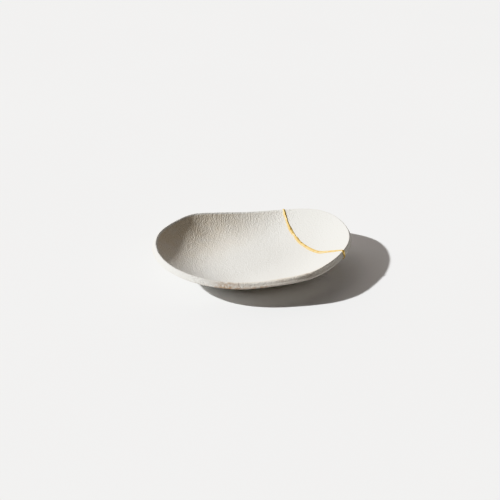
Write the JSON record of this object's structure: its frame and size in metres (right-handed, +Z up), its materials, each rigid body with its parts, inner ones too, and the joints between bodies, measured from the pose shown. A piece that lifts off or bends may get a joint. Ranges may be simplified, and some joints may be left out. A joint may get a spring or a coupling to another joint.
{
  "type": "kintsugi bowl",
  "caption": "Shallow oval hand-built stoneware bowl with a gently uneven rim and flat foot, one broken end mended with a raised gold seam.",
  "frame": {"origin": "on the surface the bowl stands on, under the middle of its outline seen from above", "axes": "+Z up; +X along the bowl's length, towards the mended end; +Y across it, towards the straighter side"},
  "size_m": [0.1942, 0.1549, 0.0302],
  "materials": {
    "stoneware": "matte, sandy, unglazed off-white",
    "gold": "satin gold leaf over lacquer"
  },
  "bodies": {
    "root": {"bowl_body": "stoneware", "mended_shard": "stoneware", "gold_seam": "gold"}
  },
  "joints": []
}
